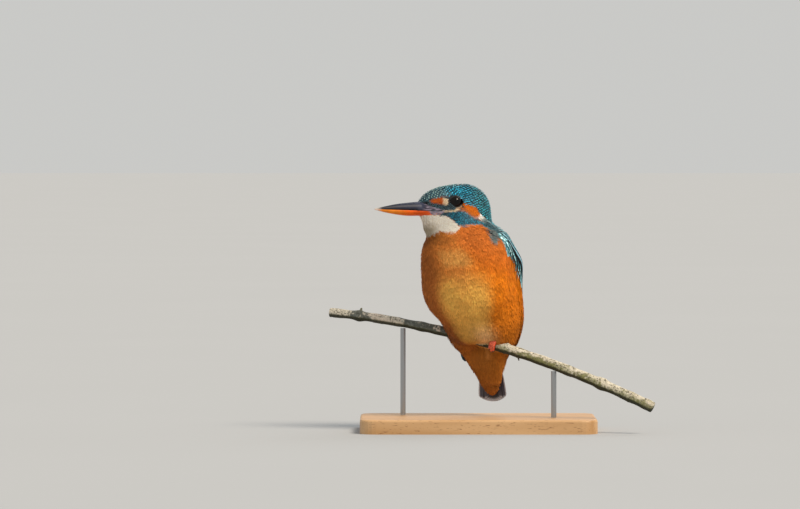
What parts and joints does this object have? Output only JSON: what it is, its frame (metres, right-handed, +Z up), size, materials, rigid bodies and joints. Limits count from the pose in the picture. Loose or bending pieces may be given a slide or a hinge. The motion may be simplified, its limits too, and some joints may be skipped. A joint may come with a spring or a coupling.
{
  "type": "common kingfisher model on a perch",
  "caption": "Life-size still model of a common kingfisher, head turned to its right, on a cut branch held by rods over a flat base.",
  "frame": {"origin": "middle of the underside of the stand's base", "axes": "+Z up; +X along the base and, seen from the front, to the right; -Y towards the front, where the bird's breast faces, turned 28 degrees to the left"},
  "size_m": [0.1814, 0.078, 0.1385],
  "materials": {
    "crown_feathers": "soft barred feathers, dark with turquoise bars",
    "throat_feathers": "soft cream feathers",
    "breast_feathers": "soft rufous feathers, matt",
    "undertail_feathers": "soft rufous coverts over dark tail feathers",
    "wing_coverts": "green-blue coverts with turquoise spots, faint sheen",
    "flight_feathers": "dark firm vanes with blue outer edges, faint sheen",
    "upper_bill_horn": "grey-black horn, satin",
    "lower_bill_horn": "orange-red horn with a pale tip, satin",
    "eye": "near-black, polished",
    "foot_scales": "orange-red scales, satin",
    "branch_bark": "grey bark with pale lichen, matt",
    "oiled_beech": "fine-grained, oiled",
    "steel_rod": "drawn rod, satin"
  },
  "bodies": {
    "root": {"head": "crown_feathers", "neck": "throat_feathers", "trunk": "breast_feathers", "tail": "undertail_feathers", "wing_left": "wing_coverts", "wing_right": "wing_coverts", "primaries_left": "flight_feathers", "primaries_right": "flight_feathers", "bill_upper": "upper_bill_horn", "bill_lower": "lower_bill_horn", "eye_left": "eye", "eye_right": "eye", "leg_left": "foot_scales", "leg_right": "foot_scales", "foot_left": "foot_scales", "foot_right": "foot_scales", "perch": "branch_bark", "stand_base": "oiled_beech", "stand_rod_left": "steel_rod", "stand_rod_right": "steel_rod"}
  },
  "joints": []
}
